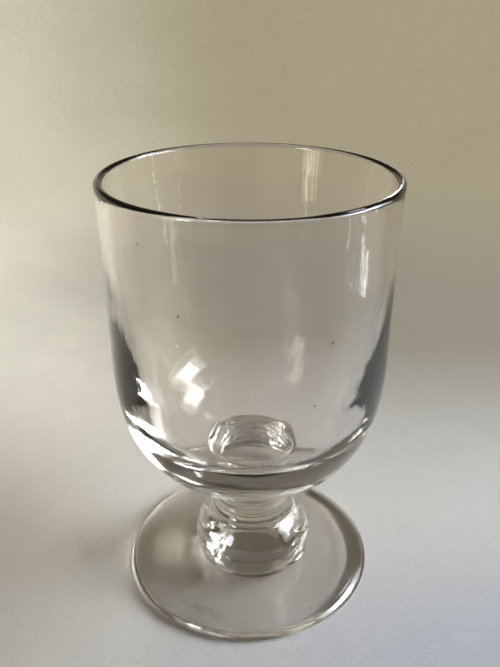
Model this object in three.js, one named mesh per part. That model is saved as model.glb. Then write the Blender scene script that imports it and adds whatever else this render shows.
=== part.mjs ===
// A rummer: a short-stemmed drinking glass with a wide, round-bottomed bowl.
// It is four gathers of glass, worked hot and joined end to end: foot, ball knop, collar and bowl.
// Lengths are in millimetres, +Z is up, and the foot stands on z = 0 with the bowl's axis at x = y = 0.

import * as THREE from "three";

// Bowl
const RIM_RADIUS = 42;
const BOWL_RADIUS = 41.25; // outside, where the wall turns into the round bottom
const BOWL_HEIGHT = 94.6; // from the collar's top to the rim
const CUP_DEPTH = 47; // of the round bottom, below the nearly upright wall
const LIP_THICKNESS = 2.1;
const WALL_THICKNESS = 3.8; // where the inside turns upright
const FLOOR_THICKNESS = 9; // of the solid glass between the cavity and the collar
const CAVITY_CURVE_DEPTH = 43; // from where the inside turns upright, down to its floor
const CUP_FULLNESS = 2.7; // exponent of the outside curve: 2 is an ellipse, more is squarer
const CAVITY_FULLNESS = 3;

// Collar, the waisted neck between bowl and knop
const COLLAR_HEIGHT = 17.8;
const COLLAR_TOP_RADIUS = 16.5;
const WAIST_RADIUS = 12.6;
const WAIST_HEIGHT_SHARE = 0.3; // of the collar's height, up from the knop
const LOWER_COVE_POWER = 3;
const UPPER_COVE_POWER = 3;

// Ball knop, a squashed ball cut flat below and above
const KNOP_RADIUS = 19.2;
const KNOP_HEIGHT = 16;
const KNOP_SEAT_SHARE = 0.9; // radius of its seat on the foot, over the knop's radius
const KNOP_TOP_SHARE = 0.75; // radius under the collar, over the knop's radius
const STEM_OFFSET = 1.2; // the hand-set knop stands this far to +X of the bowl's axis

// Foot
const FOOT_RADIUS = 40.4;
const FOOT_THICKNESS = 4.2; // at the knop
const FOOT_EDGE_THICKNESS = 3.7; // where the top begins to roll over
const FOOT_ROLL_WIDTH = 8; // of the rounded edge, seen from above
const FOOT_BELLY_HEIGHT = 1.7; // of the widest line above the table
const RESTING_RING_WIDTH = 4.6;
const FOOT_UNDERCUT = 2.2; // from the widest line in to the resting ring
const KICK_HEIGHT = 1.3; // hollow under the middle of the foot
const PONTIL_RADIUS = 7.5; // scar where the working iron was broken off
const PONTIL_RISE = 0.5; // how far the scar stands down from the hollow

// Fineness of the turned surfaces
const WIDE_SEGMENTS = 72;
const STEM_SEGMENTS = 48;

const footTop = FOOT_THICKNESS;
const knopTop = footTop + KNOP_HEIGHT;
const collarTop = knopTop + COLLAR_HEIGHT;
const rimHeight = collarTop + BOWL_HEIGHT;

const knopSeatRadius = KNOP_RADIUS * KNOP_SEAT_SHARE;
const knopTopRadius = KNOP_RADIUS * KNOP_TOP_SHARE;

function point(radius, height) {
  return new THREE.Vector2(radius, height);
}

// Points for shares 0 to 1 of a curve, both ends included
function sample(count, curve) {
  return Array.from({ length: count + 1 }, (_, i) => curve(i / count));
}

// Squared-off quarter round below centreHeight, from startRadius near the axis out to the full radius
function cup({ radius, depth, centreHeight, fullness, startRadius, count }) {
  const start = Math.asin((startRadius / radius) ** (fullness / 2));
  return sample(count, (share) => {
    const angle = start + (Math.PI / 2 - start) * share;
    const across = Math.sin(angle) ** (2 / fullness);
    const down = share === 1 ? 0 : Math.cos(angle) ** (2 / fullness);
    return point(radius * across, centreHeight - depth * down);
  });
}

// Nearly upright wall that eases outwards to the rim
function flaredWall({ from, to, count }) {
  return sample(count, (share) => {
    return point(from.x + (to.x - from.x) * share ** 2, from.y + (to.y - from.y) * share);
  });
}

// Solid turned about Z from an outline that runs up the outside and back down on the inside
function turned(name, outline, segments, finish) {
  const geometry = new THREE.LatheGeometry(outline, segments);
  geometry.rotateX(Math.PI / 2);
  const mesh = new THREE.Mesh(geometry, new THREE.MeshStandardMaterial(finish));
  mesh.name = name;
  return mesh;
}

// Flat joint under the bowl, round bottom, wall, fire-polished lip, and the cavity down to its floor
function bowl() {
  const jointShare = (1 - (COLLAR_TOP_RADIUS / BOWL_RADIUS) ** CUP_FULLNESS) ** (1 / CUP_FULLNESS);
  const shoulderHeight = collarTop + CUP_DEPTH * jointShare;
  const cavityShoulderHeight = collarTop + FLOOR_THICKNESS + CAVITY_CURVE_DEPTH;
  const lipRadius = LIP_THICKNESS / 2;
  const lipHeight = rimHeight - lipRadius;

  const bottom = cup({
    radius: BOWL_RADIUS,
    depth: CUP_DEPTH,
    centreHeight: shoulderHeight,
    fullness: CUP_FULLNESS,
    startRadius: COLLAR_TOP_RADIUS,
    count: 12,
  });
  const outerWall = flaredWall({
    from: point(BOWL_RADIUS, shoulderHeight),
    to: point(RIM_RADIUS, lipHeight),
    count: 5,
  });
  const lip = sample(6, (share) => {
    const angle = Math.PI * share;
    return point(RIM_RADIUS - lipRadius + lipRadius * Math.cos(angle), lipHeight + lipRadius * Math.sin(angle));
  });
  const innerWall = flaredWall({
    from: point(BOWL_RADIUS - WALL_THICKNESS, cavityShoulderHeight),
    to: point(RIM_RADIUS - LIP_THICKNESS, lipHeight),
    count: 5,
  });
  const cavity = cup({
    radius: BOWL_RADIUS - WALL_THICKNESS,
    depth: CAVITY_CURVE_DEPTH,
    centreHeight: cavityShoulderHeight,
    fullness: CAVITY_FULLNESS,
    startRadius: 0,
    count: 12,
  });
  const outline = [
    point(0, collarTop),
    ...bottom,
    ...outerWall.slice(1),
    ...lip.slice(1),
    ...innerWall.reverse().slice(1),
    ...cavity.reverse().slice(1),
  ];
  return turned("bowl", outline, WIDE_SEGMENTS, { color: 0xe3e5e2, roughness: 0.03, metalness: 0 });
}

// Waisted neck: a short cove up from the knop and a longer one out to the bowl, leaning back to its axis
function collar() {
  const waist = WAIST_HEIGHT_SHARE * COLLAR_HEIGHT;
  const lowerCove = sample(5, (share) => {
    const spread = (knopTopRadius - WAIST_RADIUS) * (1 - share) ** LOWER_COVE_POWER;
    return point(WAIST_RADIUS + spread, knopTop + waist * share);
  });
  const upperCove = sample(6, (share) => {
    const spread = (COLLAR_TOP_RADIUS - WAIST_RADIUS) * share ** UPPER_COVE_POWER;
    return point(WAIST_RADIUS + spread, knopTop + waist + (COLLAR_HEIGHT - waist) * share);
  });
  const outline = [point(0, knopTop), ...lowerCove, ...upperCove.slice(1), point(0, collarTop)];
  const mesh = turned("collar", outline, STEM_SEGMENTS, { color: 0xdde0dc, roughness: 0.04, metalness: 0 });
  const lean = -STEM_OFFSET / COLLAR_HEIGHT;
  mesh.geometry.applyMatrix4(new THREE.Matrix4().makeShear(0, 0, 0, 0, lean, 0));
  mesh.geometry.translate(-lean * collarTop, 0, 0);
  return mesh;
}

// Squashed ball, seated flat on the foot and cut flat under the collar
function ballKnop() {
  const seatAngle = Math.acos(KNOP_SEAT_SHARE);
  const topAngle = Math.acos(KNOP_TOP_SHARE);
  const halfHeight = KNOP_HEIGHT / (Math.sin(seatAngle) + Math.sin(topAngle));
  const equator = footTop + halfHeight * Math.sin(seatAngle);
  const side = sample(12, (share) => {
    const angle = -seatAngle + (topAngle + seatAngle) * share;
    return point(KNOP_RADIUS * Math.cos(angle), equator + halfHeight * Math.sin(angle));
  });
  const outline = [point(0, footTop), ...side, point(0, knopTop)];
  const mesh = turned("ball_knop", outline, STEM_SEGMENTS, { color: 0xd6d8d2, roughness: 0.04, metalness: 0 });
  mesh.position.x = STEM_OFFSET;
  return mesh;
}

// Disc with a rolled edge, standing on a worn flat ring round a shallow hollow with its pontil scar
function foot() {
  const ringOuter = FOOT_RADIUS - FOOT_UNDERCUT;
  const ringInner = ringOuter - RESTING_RING_WIDTH;
  const scarHeight = KICK_HEIGHT - PONTIL_RISE;
  const hollow = sample(4, (share) => {
    const radius = PONTIL_RADIUS + (ringInner - PONTIL_RADIUS) * share;
    return point(radius, KICK_HEIGHT * (1 - share ** 2));
  });
  const underEdge = sample(4, (share) => {
    const angle = (Math.PI / 2) * share;
    return point(ringOuter + FOOT_UNDERCUT * Math.sin(angle), FOOT_BELLY_HEIGHT * (1 - Math.cos(angle)));
  });
  const rolledEdge = sample(6, (share) => {
    const angle = (Math.PI / 2) * share;
    const rise = (FOOT_EDGE_THICKNESS - FOOT_BELLY_HEIGHT) * Math.sin(angle);
    return point(FOOT_RADIUS - FOOT_ROLL_WIDTH * (1 - Math.cos(angle)), FOOT_BELLY_HEIGHT + rise);
  });
  const outline = [
    point(0, scarHeight),
    point(PONTIL_RADIUS - PONTIL_RISE, scarHeight),
    ...hollow,
    ...underEdge,
    ...rolledEdge.slice(1),
    point(knopSeatRadius + STEM_OFFSET, footTop),
    point(0, footTop),
  ];
  return turned("foot", outline, WIDE_SEGMENTS, { color: 0xdcdeda, roughness: 0.06, metalness: 0 });
}

const rummer = new THREE.Group();
rummer.add(foot(), ballKnop(), collar(), bowl());

export default rummer;
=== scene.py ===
"""A rummer of clear hand-made glass on a pale paper sweep: bowl, collar, ball knop and foot, joined hot."""

import math

import bmesh
import bpy
import numpy as np
from mathutils import Matrix, Vector


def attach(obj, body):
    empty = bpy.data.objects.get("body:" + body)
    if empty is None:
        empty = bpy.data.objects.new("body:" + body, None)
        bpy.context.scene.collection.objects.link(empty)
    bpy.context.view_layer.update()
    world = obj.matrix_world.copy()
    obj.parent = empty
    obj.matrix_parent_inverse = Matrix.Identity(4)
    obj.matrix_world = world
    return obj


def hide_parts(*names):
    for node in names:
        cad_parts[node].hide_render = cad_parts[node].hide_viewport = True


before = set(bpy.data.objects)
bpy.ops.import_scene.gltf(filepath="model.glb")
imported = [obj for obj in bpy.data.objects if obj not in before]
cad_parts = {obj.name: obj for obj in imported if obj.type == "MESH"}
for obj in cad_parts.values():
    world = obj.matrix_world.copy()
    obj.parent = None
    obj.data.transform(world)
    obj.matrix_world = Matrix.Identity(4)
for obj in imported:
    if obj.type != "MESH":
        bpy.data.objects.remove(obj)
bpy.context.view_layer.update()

# Sizes in millimetres. The outside is the part's; the bowl's inside and the foot's edge are shaped more finely
RIM_RADIUS = 42.0
BOWL_RADIUS = 41.25
RIM_HEIGHT = 132.6
CUP_DEPTH = 47.0
CUP_FULLNESS = 2.7
LIP_THICKNESS = 2.4
CAVITY_FLOOR = 47.0
CAVITY_RADIUS = 36.2
CAVITY_SHOULDER = 88.0  # where the round inside would turn upright
CAVITY_FULLNESS = 3.1
CAVITY_BLEND = (66.0, 78.0)  # heights between which the round inside gives way to the wall
WALL = ((66.0, 5.75), (69.0, 5.52), (72.0, 5.3), (75.0, 5.05), (78.0, 4.75), (82.0, 4.25), (86.0, 3.75),
        (90.0, 3.35), (94.0, 3.05), (98.0, 2.85), (106.0, 2.65), (116.0, 2.6), (129.5, 2.5),
        (131.3, 2.4))  # height, thickness at the sides
FRONT_WALL = ((47.0, 0.0), (50.0, -0.36), (60.0, -0.53), (66.0, -0.57), (72.0, -0.40), (78.0, -0.17), (82.0, 0.10),
              (86.0, 0.38), (90.0, 0.52), (94.0, 0.58), (98.0, 0.55), (106.0, 0.42), (116.0, 0.25),
              (126.0, 0.0))  # height, how much thicker it is at the front and back than at the sides
COLLAR_TOP = 38.0
COLLAR_TOP_RADIUS = 16.5
WAIST_RADIUS = 12.6
WAIST_HEIGHT = 25.5
KNOP_TOP = 20.2
KNOP_RADIUS = 19.2
KNOP_SEAT_SHARE = 0.9
KNOP_TOP_SHARE = 0.75
STEM_OFFSET = 1.2
FOOT_TOP = 4.2
FOOT_RADIUS = 40.4
FOOT_EDGE_THICKNESS = 3.7
FOOT_ROLL_WIDTH = 8.0
FOOT_BELLY = 1.2
FOOT_BEVEL = ((40.3, 1.55), (39.95, 2.05), (39.1, 2.85), (38.3, 3.4), (37.4, 3.66), (36.2, 3.7))  # radius, height
RING_OUTER = 38.2
RING_INNER = 33.6
KICK_HEIGHT = 1.3
SCAR_RADIUS = 7.2
SCAR_HEIGHT = 0.8

# The hand in it
LEAN_TOP = 52.0  # where the stem's lean has faded out
CAVITY_SHIFT = 0.25  # the cavity stands this far towards +X
CAVITY_SHIFT_TOP, CAVITY_SHIFT_FADE = 125.0, 25.0  # height where that starts, and over which it grows
OUTER_SKIN, INNER_SKIN = 0, 7  # seeds of the two skins of the bowl
CORD_DEPTH, CORD_SPACING = 0.035, (9, 9, 60)  # long ridges up the wall
SAG_DEPTH, SAG_SPACING = 0.025, (18, 18, 22)  # its slow waves
DRAWN_IN = 0.03  # keeps the waves of the wall inside its box
FREE_BELOW_RIM, FREE_OFF_AXIS = 3.0, (3, 15)  # the waves grow over the first, and between the radii of the second
RIM_DIP, RIM_DIP_SPACING = 0.11, (26, 26, 26)  # the rim sinks a little in places
RIM_DIP_START, RIM_DIP_FADE = 124.0, 8.0
COLLAR_RINGS = ((22.4, 0.34), (25.6, 0.50), (29.4, 0.48), (33.4, 0.30))  # height and size of the tool's ridges
COLLAR_RING_REACH = 0.85
KNOP_RINGS = ((9.3, -0.05), (11.2, 0.04), (13.4, -0.06), (15.6, 0.05), (17.6, -0.04))
KNOP_RING_REACH = 0.75
KNOP_RING_TILT, KNOP_RING_TURN = 0.25, 1.0  # how far the rings slope, and the bearing that it starts from, radians
LUMPS, LUMP_SPACING = 0.10, (11, 11, 7)  # of the knop
DIMPLES, DIMPLE_SPACING = 0.03, (4, 4, 3)
LAP_DEPTH = 1.5  # of the lap of glass at the knop's seat
LAP_BEARING, LAP_REACH = -0.6, 0.27  # radians
LAP_TOP, LAP_TOP_FADE, LAP_FOOT_FADE = 7.6, 1.6, 0.8
STEM_FADE = 3  # the knop's marks grow over this height at either end of the stem
EDGE_WEAR, EDGE_WEAR_SPACING = 0.12, (16, 16, 16)  # off the foot's edge
EDGE_WEAR_START, EDGE_WEAR_FADE = 30.0, 8.0
FOOT_RIPPLE = 0.02
RIPPLE_START, RIPPLE_END, RIPPLE_FADE = 19.5, 38, 4  # radii
RIPPLE_TURNS = 1.35  # radians of the foot's ripple for each millimetre outwards
RIPPLE_SPACING = (18, 18, 18)

SIDES = 192  # faces round each turned surface
STEP = 0.45  # between rings of a turned surface
BOWL_STEP = STEP * 1.3
STEM_STEP, STEM_EASE = 0.2, 3  # of the stem's line, and the points over which its creases are melted
EDGE_STEP, EDGE_EASE = 0.1, 4  # of the foot's edge
WALL_STEP, WALL_EASE = 0.25, 6  # of the table of the wall
TOUCH = 0.001  # heights closer than this are the same
MM = 0.001

# Glass
GLASS_IOR = 1.56  # light lead glass
BOWL_TINT = (0.94, 0.915, 0.885)
COLLAR_TINT = (0.90, 0.88, 0.825)
KNOP_TINT = (0.87, 0.845, 0.77)
FOOT_TINT = (0.84, 0.818, 0.785)
BOWL_CORDS = (0.00007, (1.0, 1.0, 0.16))  # depth in metres, and the stretch that lays them along the piece
COLLAR_CORDS = (0.00008, (0.2, 0.2, 1.8))
KNOP_CORDS = (0.0001, (0.2, 0.2, 1.8))
FOOT_CORDS = (0.0001, (1.0, 1.0, 0.5))
SMOKE = 0.972  # of the tint's brightness, where the glass is smokier
# the colour of the seeds, the foot's scuff and the knop's painted shade
DIRT_AND_SHADE = (0.10, 0.08, 0.055, 1.0)
SCRATCH_DEPTH = 0.00002  # metres
STROKE_DEPTH = 0.000012
SEEDS = ((-26.62, -32.21, 123.56, 0.42), (-17.13, -37.73, 107.33, 0.45), (16.72, -37.71, 82.28, 0.40),
         (20.64, -35.80, 99.35, 0.55), (-10.40, -40.18, 111.57, 0.26))  # place and reach, millimetres
SCUFF = (-14.5, -30.9)  # x and y of the rubbed place on the foot's top, millimetres
SCUFF_ACROSS, SCUFF_ALONG = 0.48, 0.88  # the way in which it was rubbed
SCUFF_LENGTH, SCUFF_WIDTH = 0.010, 0.0024  # metres
KNOP_TURNS = 2350.0  # radians of the streaks for each metre up the knop

# The paper's tones where it is near, behind and far away, and the room's; linear colours. The paper's tones hold
# painted light: lighter and warmer behind to the left, darker behind to the right, cooler at the front right.
NEAREST_LEFT, NEAREST_RIGHT = (0.55, 0.512, 0.458, 1), (0.50, 0.523, 0.585, 1)
FRONT_LEFT, FRONT_RIGHT = (0.73, 0.67, 0.573, 1), (0.685, 0.665, 0.645, 1)
BACK_LEFT, BACK_RIGHT = (1.0, 0.93, 0.775, 1), (0.36, 0.32, 0.245, 1)
FAR_LEFT, FAR_RIGHT = (0.69, 0.64, 0.49, 1), (0.40, 0.35, 0.24, 1)
ROOM_LOW, ROOM_HIGH = (0.095, 0.082, 0.060, 1), (0.13, 0.110, 0.080, 1)

PAPER_SHADE = (0.10, 0.09, 0.08, 1)
PAPER_REACH = 8.0  # half its width, metres
PAPER_DROP = 0.0003  # below the resting ring, so that the two don't share a face

# Lamps; a bearing is in degrees from +Y towards +X, lengths are in metres
LIT_SPOT = Vector((0.0, 0.0, 0.05))  # every lamp faces it
DAYLIGHT, SKY, WHITE_SILL = (0.93, 0.97, 1.0), (0.84, 0.915, 1.0), (0.97, 0.96, 0.93)
PANE_LIGHT, HIGH_LIGHT = (0.87, 0.94, 1.0), (0.92, 0.96, 1.0)
FOLD_LIGHT, HEM_LIGHT, SPILL_LIGHT = (1.0, 0.95, 0.80), (1.0, 0.95, 0.74), (1.0, 0.95, 0.78)
GLOW_SHARES = (1.0, 0.84, 0.68)  # of the window's width: three panes, one in front of the other
GLOW_WIDTH, GLOW_HEIGHT = 6.0, 2.84
WINDOW_BEARING = 88
WINDOW_FAR = 6.0
SILL_BARS = ((-0.100, 0.006, 0.022, 0.044, 3.0), (-0.072, 0.005, -0.020, 0.004, 3.2),
             (-0.057, 0.004, -0.024, 0.000, 4.2), (-0.042, 0.004, -0.014, 0.010, 3.0),
             (-0.013, 0.004, -0.014, 0.012, 3.4), (-0.005, 0.005, -0.018, 0.022, 5.4),
             (0.003, 0.006, -0.012, 0.026, 6.0), (0.011, 0.003, -0.006, 0.018, 4.0),
             (0.020, 0.007, 0.048, 0.065, 4.5))  # y, width, low, high, brightness
SILL_RIGHT = 0.27  # x of the bars
CURTAIN_FOLDS = ((-131, 3.0), (-127.5, 5.5), (-124, 3.0), (-121, 5.0), (-117.5, 2.6))  # bearing, brightness
HIGH_PANES = (44, 56)  # bearings

# The camera, as fitted to the photograph's ellipses
LENS = 39.29
STAND = (0.000138, -0.196024, 0.181080)  # metres
PITCH, ROLL = 26.28, 0.164  # degrees down and round


# Shader sheet

class Wire:
    """A value that runs over the surface; arithmetic on it adds Math nodes."""

    def __init__(self, sheet, socket):
        self.sheet = sheet
        self.socket = socket

    def at(self, name):
        return Wire(self.sheet, self.socket.node.outputs[name])

    def math(self, operation, *values):
        return self.sheet.node("Math", {"operation": operation}, dict(enumerate(values)))

    def __add__(self, other):
        return self.math("ADD", self, other)

    def __radd__(self, other):
        return self.math("ADD", other, self)

    def __sub__(self, other):
        return self.math("SUBTRACT", self, other)

    def __rsub__(self, other):
        return self.math("SUBTRACT", other, self)

    def __mul__(self, other):
        return self.math("MULTIPLY", self, other)

    def __rmul__(self, other):
        return self.math("MULTIPLY", other, self)

    def __truediv__(self, other):
        return self.math("DIVIDE", self, other)

    def __rtruediv__(self, other):
        return self.math("DIVIDE", other, self)

    def __pow__(self, other):
        return self.math("POWER", self, other)

    def rise(self, low, high):
        """0 below low, 1 above high, smooth between; low may be the larger, for a fall."""
        settings = {"interpolation_type": "SMOOTHSTEP"}
        return self.sheet.node("MapRange", settings, {"Value": self, "From Min": low, "From Max": high})


class Sheet:
    """The nodes of one material or of the room."""

    def __init__(self, tree):
        self.tree = tree
        tree.nodes.clear()

    def node(self, kind, settings=None, values=None):
        """Adds a node; a value is a number, a colour or a Wire, for a socket named or numbered."""
        made = self.tree.nodes.new("ShaderNode" + kind)
        for name, setting in (settings or {}).items():
            setattr(made, name, setting)
        sockets = [socket for socket in made.inputs if socket.enabled]
        for key, value in (values or {}).items():
            named = [socket for socket in sockets if socket.name == key]
            socket = named[0] if named else sockets[key]
            if isinstance(value, Wire):
                self.tree.links.new(value.socket, socket)
            else:
                socket.default_value = value
        return Wire(self, next(socket for socket in made.outputs if socket.enabled)) if made.outputs else None

    def place(self, scale=(1.0, 1.0, 1.0), shift=(0.0, 0.0, 0.0)):
        """The point on the piece, in metres, stretched by scale."""
        here = self.node("TexCoord").at("Object")
        return self.node("Mapping", {}, {"Vector": here, "Location": shift, "Scale": scale})

    def split(self, vector):
        """The vector's three parts."""
        parts = self.node("SeparateXYZ", {}, {"Vector": vector})
        return parts.at("X"), parts.at("Y"), parts.at("Z")

    def root(self, value):
        return self.node("Math", {"operation": "SQRT"}, {0: value})

    def grain(self, vector, size, detail=3.0, roughness=0.5):
        """Even noise from 0 to 1 with blotches about size metres across."""
        values = {"Vector": vector, "Scale": 1.0 / size, "Detail": detail, "Roughness": roughness}
        return self.node("TexNoise", {}, values)

    def blend(self, share, first, second):
        return self.node("Mix", {"data_type": "RGBA"}, {"Factor": share, "A": first, "B": second})

    def bump(self, height, distance, strength=1.0):
        return self.node("Bump", {}, {"Strength": strength, "Distance": distance, "Height": height})


def material_sheet(name):
    material = bpy.data.materials.new(name)
    material.use_nodes = True
    return material, Sheet(material.node_tree)


# Glass

def cord_waves(sheet, grain):
    """The fine relief of drawn glass, 0 to 1: lines along the grain, soft sags, and a fine shimmer."""
    drawn = sheet.grain(sheet.place(grain), 0.006, 2.0, 0.45)
    sagged = sheet.grain(sheet.place((0.5, 0.5, 1.0), (0.3, 0.1, 0.2)), 0.011, 1.0, 0.4)
    fine = sheet.grain(sheet.place((1.0, 1.0, 0.25), (0.7, 0.2, 0.5)), 0.0014, 2.0, 0.6)
    return drawn * 0.57 + sagged * 0.31 + fine * 0.12


def smoky(sheet, tint):
    """The tint, with faint clouds of smoke in it."""
    smoke = sheet.grain(sheet.place((1.0, 1.0, 0.4), (0.5, 0.5, 0.1)), 0.03, 3.0, 0.5)
    darker = tuple(SMOKE * part for part in tint)
    return sheet.blend(smoke.rise(0.35, 0.75), (*tint, 1.0), (*darker, 1.0))


def glass(name, tint, cords, grain, scuffs, marks=None):
    """Clear metal with fine cords drawn along the piece, faint smoke in its colour, and wear where it was handled.

    cords is the depth of the drawn lines in metres and grain the stretch that lays them along the piece;
    scuffs(sheet, radius, height) gives the worn share and marks(sheet, place, height) the dirt and painted shade, and
    the relief.
    """
    material, sheet = material_sheet(name)
    place = sheet.place()
    across, deep, height = sheet.split(place)
    worn = scuffs(sheet, sheet.root(across * across + deep * deep), height)
    scratches = sheet.grain(sheet.place((1.0, 0.12, 1.0), (0.4, 0.9, 0.1)), 0.0006, 2.0, 0.7)
    pits = sheet.grain(place, 0.0004, 2.0, 0.7)
    surface = cord_waves(sheet, grain) * cords + worn * (scratches * SCRATCH_DEPTH + pits * SCRATCH_DEPTH)
    colour = smoky(sheet, tint)
    dirt_and_shade, relief = marks(sheet, place, height) if marks else (None, None)
    if dirt_and_shade is not None:
        # dark marks, and on the knop painted shade
        colour = sheet.blend(dirt_and_shade, colour, DIRT_AND_SHADE)
    if relief is not None:
        surface = surface + relief
    values = {"Base Color": colour, "Roughness": worn * (0.12 + pits * 0.5), "Normal": sheet.bump(surface, 1.0)}
    values.update({"IOR": GLASS_IOR, "Transmission Weight": 1.0})
    sheet.node("OutputMaterial", {}, {"Surface": sheet.node("BsdfPrincipled", {}, values)})
    return material


def fused_joint():
    """Hot glass joined to hot glass shows no face between them."""
    material, sheet = material_sheet("fused_joint")
    shader = sheet.node("BsdfPrincipled", {}, {"Base Color": (1, 1, 1, 1), "Alpha": 0.0, "IOR": GLASS_IOR})
    sheet.node("OutputMaterial", {}, {"Surface": shader})
    return material


def stem_wear(sheet, radius, height):
    """Hardly touched: a few dull specks."""
    return sheet.grain(sheet.place(), 0.004, 2.0, 0.5).rise(0.72, 0.85) * 0.05


def bowl_wear(sheet, radius, height):
    """The middle of the cavity's floor is stirred dull in patches."""
    inside = radius.rise(0.022, 0.008) * height.rise(0.046, 0.0465) * height.rise(0.054, 0.050)
    patches = sheet.grain(sheet.place(), 0.005, 4.0, 0.6).rise(0.45, 0.75)
    return inside * patches * 0.35


def near(sheet, place, spot, reach):
    """1 within about reach millimetres of a spot, 0 outside."""
    middle = tuple(part * MM for part in spot)
    gap = sheet.node("VectorMath", {"operation": "DISTANCE"}, {0: place, 1: middle})
    return gap.rise(reach * MM, 0.55 * reach * MM)


def bowl_marks(sheet, place, height):
    """Dark seeds in the wall, and the strokes of the tool that shaped the inside of the bottom."""
    seeds = sum(near(sheet, place, spot, reach) for *spot, reach in SEEDS)
    inside = sheet.node("Attribute", {"attribute_name": "inside"}).at("Fac")
    strokes = sheet.grain(sheet.place((0.35, 0.35, 2.6), (0.2, 0.6, 0.3)), 0.0026, 2.0, 0.5)
    worked_part = inside * height.rise(0.048, 0.056) * height.rise(0.092, 0.074)
    return seeds * 0.8, strokes * worked_part * STROKE_DEPTH


def knop_painted_shade(sheet, place, height):
    """Painted shade: darker streaks wound round the knop, and a thin dark line of shade where it meets the foot."""
    wander = sheet.grain(sheet.place((0.5, 0.5, 0.8), (0.6, 0.1, 0.4)), 0.012, 2.0, 0.55)
    # bands of painted shade round the knop
    turns = sheet.node("Math", {"operation": "SINE"}, {0: height * KNOP_TURNS + wander * 7.0})
    strength = sheet.grain(sheet.place((0.6, 0.6, 0.6), (0.2, 0.7, 0.3)), 0.008, 1.0, 0.5).rise(0.35, 0.60)
    # a thin line of painted shade at the knop's seat on the foot
    seat = height.rise(0.0056, 0.0046)
    below_top = height.rise(0.0190, 0.0165)
    return turns.rise(0.25, 0.95) * strength * below_top * 0.55 + seat * 0.55, None


def foot_marks(sheet, place, height):
    """A dull scuff of fine parallel rubs at the front of the foot."""
    x, y, _ = sheet.split(place)
    right, deep = x - SCUFF[0] * MM, y - SCUFF[1] * MM
    along = right * SCUFF_ALONG - deep * SCUFF_ACROSS
    across = right * SCUFF_ACROSS + deep * SCUFF_ALONG
    patch = ((along / SCUFF_LENGTH) ** 2.0 + (across / SCUFF_WIDTH) ** 2.0).rise(1.0, 0.1)
    turned_place = sheet.node("CombineXYZ", {}, {0: along * 0.14, 1: across, 2: 0.5})
    rubs = sheet.grain(turned_place, 0.00055, 3.0, 0.75).rise(0.42, 0.60)
    return patch * rubs * height.rise(0.0018, 0.0025) * 0.45, None


def foot_wear(sheet, radius, height):
    """Frosted all round the resting ring, with a few rubbed places on top."""
    ring = radius.rise(0.0325, 0.0345) * radius.rise(0.0392, 0.0372) * height.rise(0.0009, 0.0003)
    rubbed = sheet.grain(sheet.place((1.0, 1.0, 3.0)), 0.004, 5.0, 0.7).rise(0.64, 0.80) * 0.12
    frost = sheet.grain(sheet.place(), 0.003, 4.0, 0.6).rise(0.30, 0.62)
    scar = radius.rise(0.0085, 0.0070) * height.rise(0.0030, 0.0020) * 0.6
    top = radius.rise(0.022, 0.030) * height.rise(0.0020, 0.0030)
    return ring * frost * 0.10 + rubbed * top * 0.35 + scar


# Outlines, as (radius, height) in millimetres

def shares(count):
    return [step / count for step in range(count + 1)]


def quarter(radius, depth, centre, fullness, count):
    """Squared-off quarter round from the axis out to the full radius, below centre."""
    points = []
    for share in shares(count):
        angle = math.pi / 2 * share
        down = math.cos(angle) ** (2 / fullness) if share < 1 else 0.0
        points.append((radius * math.sin(angle) ** (2 / fullness), centre - depth * down))
    return points


def evened(points, step):
    """The same line with points about step apart."""
    line = np.array(points)
    run = np.concatenate([[0.0], np.cumsum(np.hypot(*np.diff(line, axis=0).T))])
    stops = np.linspace(0.0, run[-1], max(2, int(round(run[-1] / step)) + 1))
    return np.column_stack([np.interp(stops, run, line[:, 0]), np.interp(stops, run, line[:, 1])])


def eased(line, reach):
    """The line with its creases melted over about reach points each way, ends kept."""
    offsets = np.arange(-3 * reach, 3 * reach + 1)
    weights = np.exp(-0.5 * (offsets / reach) ** 2)
    padded = np.vstack([2 * line[0] - line[3 * reach:0:-1], line, 2 * line[-1] - line[-2:-3 * reach - 2:-1]])
    columns = [np.convolve(padded[:, k], weights / weights.sum(), "valid") for k in (0, 1)]
    return np.column_stack(columns)


def between(line, low, high):
    """The stretch of a rising line between two heights, both ends exact."""
    clear = 0.05  # of the ends
    inner = [tuple(point) for point in line if low + clear < point[1] < high - clear]
    ends = [(float(np.interp(height, line[:, 1], line[:, 0])), height) for height in (low, high)]
    return [ends[0], *inner, ends[1]]


def bowl_shoulder():
    """Height at which the round bottom of the bowl turns upright."""
    share = (1 - (COLLAR_TOP_RADIUS / BOWL_RADIUS) ** CUP_FULLNESS) ** (1 / CUP_FULLNESS)
    return COLLAR_TOP + CUP_DEPTH * share


def knop_side():
    """The squashed ball, from its seat on the foot to its crease with the collar."""
    seat, top = math.acos(KNOP_SEAT_SHARE), math.acos(KNOP_TOP_SHARE)
    half = (KNOP_TOP - FOOT_TOP) / (math.sin(seat) + math.sin(top))
    equator = FOOT_TOP + half * math.sin(seat)
    angles = [-seat + (top + seat) * share for share in shares(60)]
    return [(KNOP_RADIUS * math.cos(angle), equator + half * math.sin(angle)) for angle in angles]


def collar_side():
    """A short cove up to the waist and a longer one out to the bowl."""
    points = []
    crease = KNOP_RADIUS * KNOP_TOP_SHARE
    for share in shares(20)[1:]:
        height = KNOP_TOP + (WAIST_HEIGHT - KNOP_TOP) * share
        points.append((WAIST_RADIUS + (crease - WAIST_RADIUS) * (1 - share) ** 3, height))
    for share in shares(30)[1:]:
        height = WAIST_HEIGHT + (COLLAR_TOP - WAIST_HEIGHT) * share
        points.append((WAIST_RADIUS + (COLLAR_TOP_RADIUS - WAIST_RADIUS) * share ** 3, height))
    return points


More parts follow.
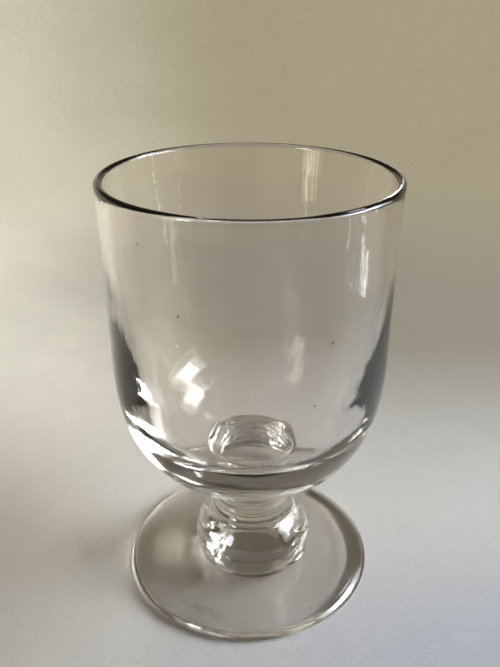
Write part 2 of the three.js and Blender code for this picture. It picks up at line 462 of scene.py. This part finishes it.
def stem_line():
    """From the foot's top, up the knop and the collar and round the bowl's bottom, creases melted."""
    bottom = quarter(BOWL_RADIUS, CUP_DEPTH, bowl_shoulder(), CUP_FULLNESS, 120)
    points = [(FOOT_RADIUS - FOOT_ROLL_WIDTH, FOOT_EDGE_THICKNESS), *knop_side(), *collar_side()]
    points += [point for point in bottom if point[0] > COLLAR_TOP_RADIUS]
    return eased(evened(points, STEM_STEP), STEM_EASE)


def bowl_skin(stem):
    """The outside of the bowl: the round bottom, and a nearly upright wall that eases outwards to the lip."""
    low, high = bowl_shoulder(), RIM_HEIGHT - LIP_THICKNESS / 2
    points = between(stem, COLLAR_TOP, low - 0.02)
    for share in shares(60)[1:]:
        points.append((BOWL_RADIUS + (RIM_RADIUS - BOWL_RADIUS) * share ** 2, low + (high - low) * share))
    return points


def lip_edge():
    """The fire-polished lip, a half round over from the outside."""
    lip = LIP_THICKNESS / 2
    angles = [math.pi * share for share in shares(18)[1:]]
    return [(RIM_RADIUS - lip + lip * math.cos(angle), RIM_HEIGHT - lip + lip * math.sin(angle)) for angle in angles]


def bowl_cavity(outside):
    """The inside from its floor up: a squared-off round that gives way to a wall of the stated thickness."""
    depth = CAVITY_SHOULDER - CAVITY_FLOOR
    high = RIM_HEIGHT - LIP_THICKNESS / 2
    bottom, top = CAVITY_BLEND
    skin = np.array(outside)
    cavity = np.array(quarter(CAVITY_RADIUS, depth, CAVITY_SHOULDER, CAVITY_FULLNESS, 400))
    heights = np.arange(bottom, high, WALL_STEP)
    thick = np.interp(heights, *np.array(WALL).T)
    thick = eased(np.column_stack([thick, heights]), WALL_EASE)[:, 0]
    upright = np.interp(heights, skin[:, 1], skin[:, 0]) - thick
    rounded = np.interp(heights, cavity[:, 1], cavity[:, 0])
    share = smooth((heights - bottom) / (top - bottom))
    above = np.column_stack([rounded + (upright - rounded) * share, heights])
    return np.vstack([cavity[cavity[:, 1] < bottom], above, (RIM_RADIUS - LIP_THICKNESS, high)])


def bowl_outline(stem):
    outside = bowl_skin(stem)
    inside = evened(bowl_cavity(outside), BOWL_STEP)[::-1]
    return [(0.0, COLLAR_TOP), *map(tuple, evened(outside, BOWL_STEP)), *lip_edge(), *map(tuple, inside[1:])]


def foot_outline(stem):
    """The scar and the hollow underneath, the resting ring, the bevelled edge and the top."""
    under = [(0.0, SCAR_HEIGHT), (SCAR_RADIUS - 0.5, SCAR_HEIGHT), (SCAR_RADIUS + 0.3, KICK_HEIGHT)]
    for share in shares(20)[1:]:
        under.append((SCAR_RADIUS + (RING_INNER - SCAR_RADIUS) * share, KICK_HEIGHT * (1 - share ** 2)))
    edge = []
    for share in shares(8):
        angle = math.pi / 2 * share
        out = (FOOT_RADIUS - RING_OUTER) * math.sin(angle)
        edge.append((RING_OUTER + out, FOOT_BELLY * (1 - math.cos(angle))))
    edge = eased(evened(edge + list(FOOT_BEVEL), EDGE_STEP), EDGE_EASE)
    top = between(stem, FOOT_EDGE_THICKNESS + 0.01, FOOT_TOP)
    skin = [*under, (RING_INNER + 2.0, 0.0), *map(tuple, edge), *top]
    return [*map(tuple, evened(skin, STEP)), (0.0, FOOT_TOP)]


# Turned and worked pieces

def smooth(share):
    share = np.clip(share, 0.0, 1.0)
    return share * share * (3 - 2 * share)


def drift(points, spacing, seed):
    """Slow wandering between about -1 and 1; spacing is how far apart its humps are along x, y and z."""
    draw = np.random.default_rng(seed)
    total = np.zeros(len(points))
    for _ in range(9):
        heading = draw.normal(size=3)
        heading *= draw.uniform(2.4, 5.2) / np.linalg.norm(heading)
        total += np.sin(points / np.array(spacing) @ heading + draw.uniform(0.0, 2 * math.pi))
    return total / 4


def hump(value, middle, reach):
    return np.exp(-((value - middle) / reach) ** 2)


def leaning(z, radius, on_foot, inner):
    """How far each point stands towards +X: the knop is off the bowl's axis and the collar leans back to it."""
    over_foot = smooth((FOOT_RADIUS - radius) / (FOOT_RADIUS - KNOP_RADIUS * KNOP_SEAT_SHARE))
    up_stem = smooth((LEAN_TOP - z) / (LEAN_TOP - KNOP_TOP))
    shift = CAVITY_SHIFT * smooth((CAVITY_SHIFT_TOP - z) / CAVITY_SHIFT_FADE)
    return STEM_OFFSET * np.where(on_foot, over_foot, up_stem) + np.where(inner, shift, 0.0)


def wall_swell(spot, seed):
    """Long cords and slow sags of one skin of the bowl, fading out at the rim and in the middle."""
    long_cords = CORD_DEPTH * drift(spot, CORD_SPACING, 1 + seed)
    soft_sags = SAG_DEPTH * drift(spot, SAG_SPACING, 2 + seed)
    start, end = FREE_OFF_AXIS
    off_axis = smooth((np.hypot(spot[:, 0], spot[:, 1]) - start) / (end - start))
    free = smooth((RIM_HEIGHT - spot[:, 2]) / FREE_BELOW_RIM) * off_axis
    return (long_cords + soft_sags - DRAWN_IN) * free


def stem_swell(spot, way):
    """The knop's lumps and faint bands, the tool's ridges round the collar, and the lap of glass at the seat."""
    high = spot[:, 2]
    clear = smooth((high - FOOT_TOP) / STEM_FADE) * smooth((COLLAR_TOP - high) / STEM_FADE)
    lumps = LUMPS * drift(spot, LUMP_SPACING, 21) + DIMPLES * drift(spot, DIMPLE_SPACING, 22)
    collar_rings = sum(size * hump(high, middle, COLLAR_RING_REACH) for middle, size in COLLAR_RINGS)
    tilted = high + KNOP_RING_TILT * np.sin(way + KNOP_RING_TURN)
    knop_bands = sum(size * hump(tilted, middle, KNOP_RING_REACH) for middle, size in KNOP_RINGS)
    low_down = smooth((LAP_TOP - high) / LAP_TOP_FADE) * smooth((high - FOOT_TOP) / LAP_FOOT_FADE)
    lap = LAP_DEPTH * hump(way, LAP_BEARING, LAP_REACH) * low_down
    return clear * (lumps + knop_bands) + collar_rings + lap


def edge_swell(spot, radius):
    """The foot's edge is a little smaller in some places than in others."""
    edge = smooth((radius - EDGE_WEAR_START) / EDGE_WEAR_FADE)
    return -EDGE_WEAR * edge * (1 + drift(spot, EDGE_WEAR_SPACING, 31)) / 2


def sinking(points, radius, on_foot):
    """How far each point lies low: the rim dips in places, and the foot's top has a fine ripple."""
    z = points[:, 2]
    rim = smooth((z - RIM_DIP_START) / RIM_DIP_FADE)
    dip = RIM_DIP * rim * np.clip(0.5 + 0.5 * drift(points * (1, 1, 0), RIM_DIP_SPACING, 5), 0.0, 1.0)
    ripple = 1 + np.cos(radius * RIPPLE_TURNS + 0.4 * drift(points, RIPPLE_SPACING, 33))
    share = smooth((radius - RIPPLE_START) / RIPPLE_FADE) * smooth((RIPPLE_END - radius) / RIPPLE_FADE)
    return dip + np.where(on_foot & (z > FOOT_BELLY), FOOT_RIPPLE * ripple * share, 0.0)


def worked(points, inner):
    """Where the glass came to rest: a leaning stem, a lumpy knop, walls that are not quite even. Millimetres."""
    x, y, z = points.T
    radius, bearing = np.hypot(x, y), np.arctan2(y, x)
    out = np.column_stack([x, y]) / np.maximum(radius, 0.01)[:, None]
    on_bowl, on_foot = z > COLLAR_TOP, z <= FOOT_TOP + TOUCH
    on_stem = ~on_bowl & ~on_foot

    swell = np.zeros(len(points))
    for skin, seed in ((~inner, OUTER_SKIN), (inner, INNER_SKIN)):
        here = on_bowl & skin
        swell[here] = wall_swell(points[here], seed)
    swell[on_stem] = stem_swell(points[on_stem], bearing[on_stem])
    swell[on_foot] = edge_swell(points[on_foot], radius[on_foot])
    swell -= np.where(inner, np.sin(bearing) ** 2 * np.interp(z, *np.array(FRONT_WALL).T), 0.0)

    moved = points.copy()
    moved[:, 0] += leaning(z, radius, on_foot, inner)
    moved[:, :2] += out * swell[:, None]
    moved[:, 2] -= sinking(points, radius, on_foot)
    return moved


def mark_joints(mesh, joints):
    """Gives the flat faces at the joints' heights the second material, with a crisp edge round them."""
    for face in mesh.faces:
        face.smooth = True
        heights = [corner.co.z for corner in face.verts]
        if any(max(abs(height - joint) for height in heights) < TOUCH for joint in joints):
            face.material_index = 1
    for edge in mesh.edges:
        edge.smooth = len({face.material_index for face in edge.link_faces}) == 1


def inside_of(places, outside):
    """Which points lie on the cavity's skin, given the outside's line."""
    skin = np.interp(places[:, 2], outside[:, 1], outside[:, 0])
    radius = np.hypot(places[:, 0], places[:, 1])
    return (radius < skin - LIP_THICKNESS / 2) & (places[:, 2] > CAVITY_FLOOR - 0.5)


def turned(name, outline, joints, outside=None):
    """Spins the outline about Z, marks its joint faces and works it; outside is the outer line of a hollow piece."""
    mesh = bmesh.new()
    points = [mesh.verts.new((radius, 0.0, height)) for radius, height in outline]
    line = [mesh.edges.new(pair) for pair in zip(points, points[1:])]
    bmesh.ops.spin(mesh, geom=points + line, cent=(0, 0, 0), axis=(0, 0, 1), angle=2 * math.pi,
                   steps=SIDES, use_merge=True)
    bmesh.ops.remove_doubles(mesh, verts=mesh.verts, dist=1e-4)
    bmesh.ops.recalc_face_normals(mesh, faces=mesh.faces)
    mark_joints(mesh, joints)
    places = np.array([corner.co for corner in mesh.verts])
    inner = np.zeros(len(places), bool) if outside is None else inside_of(places, outside)
    for corner, place in zip(mesh.verts, worked(places, inner) * MM):
        corner.co = place
    data = bpy.data.meshes.new(name)
    mesh.to_mesh(data)
    mesh.free()
    data.attributes.new("inside", "FLOAT", "POINT").data.foreach_set("value", inner.astype(np.float32))
    piece = bpy.data.objects.new(name, data)
    bpy.context.scene.collection.objects.link(piece)
    return piece


def dress(piece, node, slot, *materials):
    for material in materials:
        piece.data.materials.append(material)
    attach(piece, "root")
    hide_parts(node)


def make_bowl(stem, joint):
    shape = bowl_outline(stem)
    lip_top = max(range(len(shape)), key=lambda step: shape[step][1])
    bowl = turned("blown_bowl", shape, [COLLAR_TOP], np.array(shape[1:lip_top + 1]))
    metal = glass("bowl_glass", BOWL_TINT, *BOWL_CORDS, bowl_wear, bowl_marks)
    dress(bowl, "bowl", "bowl_glass", metal, joint)


def make_collar(stem, joint):
    line = [(0.0, KNOP_TOP), *between(stem, KNOP_TOP, COLLAR_TOP), (0.0, COLLAR_TOP)]
    collar = turned("waisted_collar", line, [KNOP_TOP, COLLAR_TOP])
    metal = glass("collar_glass", COLLAR_TINT, *COLLAR_CORDS, stem_wear)
    dress(collar, "collar", "collar_glass", metal, joint)


def make_knop(stem, joint):
    line = [(0.0, FOOT_TOP), *between(stem, FOOT_TOP, KNOP_TOP), (0.0, KNOP_TOP)]
    knop = turned("squashed_knop", line, [FOOT_TOP, KNOP_TOP])
    metal = glass("knop_glass", KNOP_TINT, *KNOP_CORDS, stem_wear, knop_painted_shade)
    dress(knop, "ball_knop", "knop_glass", metal, joint)


def make_foot(stem, joint):
    foot = turned("disc_foot", foot_outline(stem), [FOOT_TOP])
    metal = glass("foot_glass", FOOT_TINT, *FOOT_CORDS, foot_wear, foot_marks)
    dress(foot, "foot", "foot_glass", metal, joint)


def make_glass():
    stem, joint = stem_line(), fused_joint()
    for make in (make_bowl, make_collar, make_knop, make_foot):
        make(stem, joint)


# Stage

def seen_rays(sheet):
    """1 where the camera, a reflection or the glass looks at the paper, 0 for light that the paper scatters."""
    path = sheet.node("LightPath")
    seen = path.at("Is Camera Ray") + path.at("Is Glossy Ray") + path.at("Is Transmission Ray")
    return seen.math("MINIMUM", seen, 1.0)


def paper_tone_and_painted_light(sheet, across, deep, away, side):
    """The paper's tones with painted light in them: four bands from the nearest to the farthest, each from its left
    to its right.
    """
    nearest = sheet.blend(across.rise(-0.10, 0.10), NEAREST_LEFT, NEAREST_RIGHT)
    front = sheet.blend(across.rise(-0.10, 0.10), FRONT_LEFT, FRONT_RIGHT)
    back = sheet.blend(side.rise(-0.72, -0.02), BACK_LEFT, BACK_RIGHT)
    far = sheet.blend(side.rise(-0.42, 0.0), FAR_LEFT, FAR_RIGHT)
    ground = sheet.blend(deep.rise(-0.05, 0.02), nearest, front)
    ground = sheet.blend(deep.rise(0.02, 0.17), ground, back)
    return sheet.blend(away.rise(0.25, 0.60), ground, far)


def paper():
    """Pale paper with a fine tooth and painted light: lighter and warmer behind to the left, darker behind to the
    right, greyer in front, evenly lit far off.
    """
    material, sheet = material_sheet("paper_sweep")
    place = sheet.place()
    across, deep, _ = sheet.split(place)
    away = sheet.root(across * across + deep * deep + 0.0004)
    spread = sheet.node("CombineXYZ", {}, {0: across / away, 1: deep / away, 2: 0.18 / away})
    far_off = away.rise(0.22, 0.45)
    near_tooth = sheet.grain(place, 0.0008, 3.0, 0.85)
    far_tooth = sheet.grain(spread, 0.004, 3.0, 0.75)
    tooth = near_tooth * (1 - far_off) + far_tooth * far_off
    cloud = sheet.grain(spread, 0.16, 3.0, 0.55)
    ground = paper_tone_and_painted_light(sheet, across, deep, away, across / away + (cloud - 0.5) * 0.12)
    shade = tooth.rise(0.30, 0.70) * 0.10 + cloud.rise(0.35, 0.65) * 0.02
    colour = sheet.blend(shade, ground, PAPER_SHADE)
    values = {"Base Color": colour, "Roughness": 0.9, "Normal": sheet.bump(near_tooth, 0.0003, 0.5)}
    lit = sheet.node("BsdfPrincipled", {}, values)
    even = sheet.node("Emission", {}, {"Color": colour, "Strength": 1.0})
    # far off, the camera and the glass see the paper glow in its own tones, the painted light included
    distant = away.rise(0.24, 0.42) * seen_rays(sheet)
    mixed = sheet.node("MixShader", {}, {0: distant, 1: lit, 2: even})
    sheet.node("OutputMaterial", {}, {"Surface": mixed})
    return material


def make_floor():
    mesh = bmesh.new()
    drop = Matrix.Translation((0.0, 0.0, -PAPER_DROP))
    bmesh.ops.create_grid(mesh, x_segments=1, y_segments=1, size=PAPER_REACH, matrix=drop)
    data = bpy.data.meshes.new("sweep")
    mesh.to_mesh(data)
    mesh.free()
    data.materials.append(paper())
    sweep = bpy.data.objects.new("sweep", data)
    bpy.context.scene.collection.objects.link(sweep)


def make_room():
    """A dim warm room, which pales low down to the far paper's tones on the side that the camera looks towards."""
    world = bpy.data.worlds.new("room")
    bpy.context.scene.world = world
    world.use_nodes = True
    sheet = Sheet(world.node_tree)
    side, ahead, height = sheet.split(sheet.node("TexCoord").at("Generated"))
    horizon = sheet.blend(side.rise(-0.42, 0.0), FAR_LEFT, FAR_RIGHT)
    above = sheet.blend(height.rise(0.3, 1.0), ROOM_LOW, ROOM_HIGH)
    paper_end = height.rise(0.36, 0.17) * ahead.rise(-0.25, 0.20)
    colour = sheet.blend(paper_end, above, horizon)
    back = sheet.node("Background", {}, {"Color": colour, "Strength": 1.0})
    sheet.node("OutputWorld", {}, {"Surface": back})


def seen_from_glass(bearing, rise, distance):
    """A point by its bearing and its rise, in degrees, and its distance from the lit spot."""
    turn, lift = math.radians(bearing), math.radians(rise)
    way = Vector((math.sin(turn) * math.cos(lift), math.cos(turn) * math.cos(lift), math.sin(lift)))
    return LIT_SPOT + way * distance


def soft_box(name, place, size, radiance, colour, lights_paper=True, seen_through=True):
    """An evenly bright pane that faces the glass.

    One that doesn't light the paper shows in the glass alone, and one that isn't seen through the glass only
    glints on its skin. The camera sees none.
    """
    light = bpy.data.lights.new(name, "AREA")
    light.shape = "RECTANGLE"
    light.size, light.size_y = size
    light.energy = radiance * math.pi * size[0] * size[1]
    light.color = colour
    lamp = bpy.data.objects.new(name, light)
    lamp.location = place
    lamp.rotation_euler = (place - LIT_SPOT).to_track_quat("Z", "Y").to_euler()
    lamp.visible_camera = False
    lamp.visible_diffuse = lights_paper
    lamp.visible_transmission = seen_through
    bpy.context.scene.collection.objects.link(lamp)


def make_window():
    """The wide window to the right: a glow that fades towards its edges, a bright middle, and its sill."""
    at = seen_from_glass
    for share in GLOW_SHARES:
        place = at(WINDOW_BEARING, 26, WINDOW_FAR - 0.02 * share)
        soft_box("window_glow", place, (GLOW_WIDTH * share, GLOW_HEIGHT * share ** 0.5), 2.9, DAYLIGHT)
    soft_box("window_core", at(WINDOW_BEARING, 25, WINDOW_FAR - 0.1), (2.9, 2.20), 14.0, SKY)
    soft_box("window_sill", at(WINDOW_BEARING, 8, WINDOW_FAR), (GLOW_WIDTH, 1.10), 2.5, WHITE_SILL)


def make_curtain():
    """The curtained window behind the camera's left: a pane, the folds beside it, and warm light low down."""
    at = seen_from_glass
    soft_box("second_pane", at(-133, 21, 2.2), (0.38, 0.98), 13.5, PANE_LIGHT, lights_paper=False, seen_through=False)
    for bearing, brightness in CURTAIN_FOLDS:
        soft_box("curtain_fold", at(bearing, 13, 2.4), (0.11, 0.90), brightness, FOLD_LIGHT)
        hem = at(bearing, 0, 0.46)
        soft_box("curtain_hem", hem, (0.018, 0.15), brightness * 0.8, HEM_LIGHT, lights_paper=False)
    soft_box("curtain_spill", at(-127, -9, 0.30), (0.016, 0.12), 1.5, SPILL_LIGHT, lights_paper=False)


def make_glints():
    """Sunlit bars close to the right of the glass, and two small panes high up."""
    for deep, width, low, high, brightness in SILL_BARS:
        middle = Vector((SILL_RIGHT, deep, (low + high) / 2))
        soft_box("sunlit_sill", middle, (width, high - low), brightness, DAYLIGHT, lights_paper=False)
    for bearing in HIGH_PANES:
        place = seen_from_glass(bearing, 48, 2.4)
        soft_box("high_pane", place, (0.30, 0.36), 8.0, HIGH_LIGHT, lights_paper=False)


def make_camera():
    camera = bpy.data.cameras.new("camera")
    camera.lens = LENS
    holder = bpy.data.objects.new("camera", camera)
    turn = Matrix.Rotation(math.radians(90 - PITCH), 4, "X") @ Matrix.Rotation(math.radians(ROLL), 4, "Z")
    holder.matrix_world = Matrix.Translation(STAND) @ turn
    bpy.context.scene.collection.objects.link(holder)
    bpy.context.scene.camera = holder


def set_light_paths():
    """Enough bounces for thick glass; unfiltered light, so that the paper gets its bright patches through it."""
    cycles = bpy.context.scene.cycles
    cycles.max_bounces = 24
    cycles.transmission_bounces = 24
    cycles.glossy_bounces = 12
    cycles.transparent_max_bounces = 32
    cycles.blur_glossy = 0.0
    cycles.sample_clamp_indirect = 0.0


make_camera()
make_glass()
make_floor()
make_room()
make_window()
make_curtain()
make_glints()
set_light_paths()
bpy.context.scene.view_settings.view_transform = "Standard"
